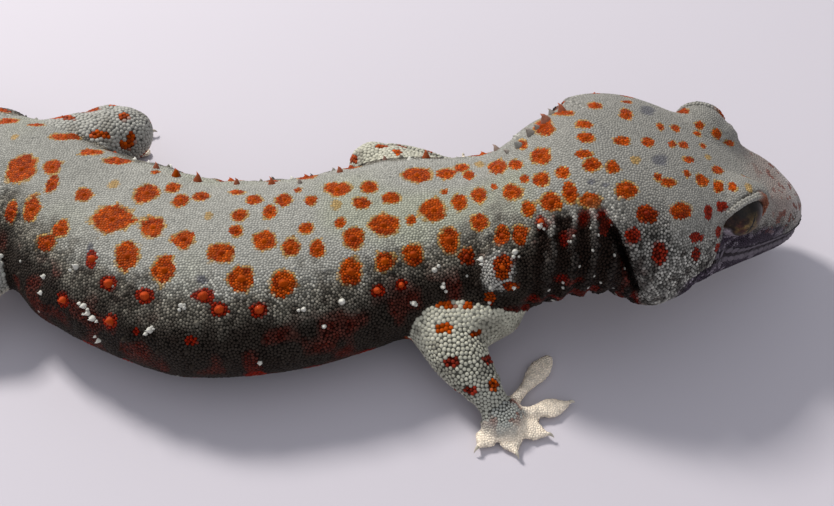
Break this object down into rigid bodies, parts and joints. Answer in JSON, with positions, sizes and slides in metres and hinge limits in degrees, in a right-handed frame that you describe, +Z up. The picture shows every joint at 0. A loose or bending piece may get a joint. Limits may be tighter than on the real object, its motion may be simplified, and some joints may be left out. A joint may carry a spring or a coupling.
{
  "type": "tokay gecko figure",
  "caption": "Tokay gecko lying still on its belly with its body curved, head a little raised and pitched down, toes spread on the floor and tail trailing.",
  "frame": {"origin": "on the floor, under the middle of the whole animal's box", "axes": "+X along the animal towards its snout, +Y to its left, +Z up from the floor it lies on"},
  "size_m": [0.3134, 0.0996, 0.0399],
  "materials": {
    "skin": "fine granular scales, satin",
    "eye": "wet gloss"
  },
  "bodies": {
    "root": {"head": "skin", "lower_jaw": "skin", "eye_left": "eye", "eye_right": "eye", "neck": "skin", "torso_front": "skin", "torso_rear": "skin", "tail_base": "skin", "tail_middle": "skin", "tail_tip": "skin", "upper_arm_front_right": "skin", "forearm_front_right": "skin", "hand_front_right": "skin", "upper_arm_front_left": "skin", "forearm_front_left": "skin", "hand_front_left": "skin", "thigh_rear_left": "skin", "shin_rear_left": "skin", "foot_rear_left": "skin", "thigh_rear_right": "skin", "shin_rear_right": "skin", "foot_rear_right": "skin"}
  },
  "joints": []
}
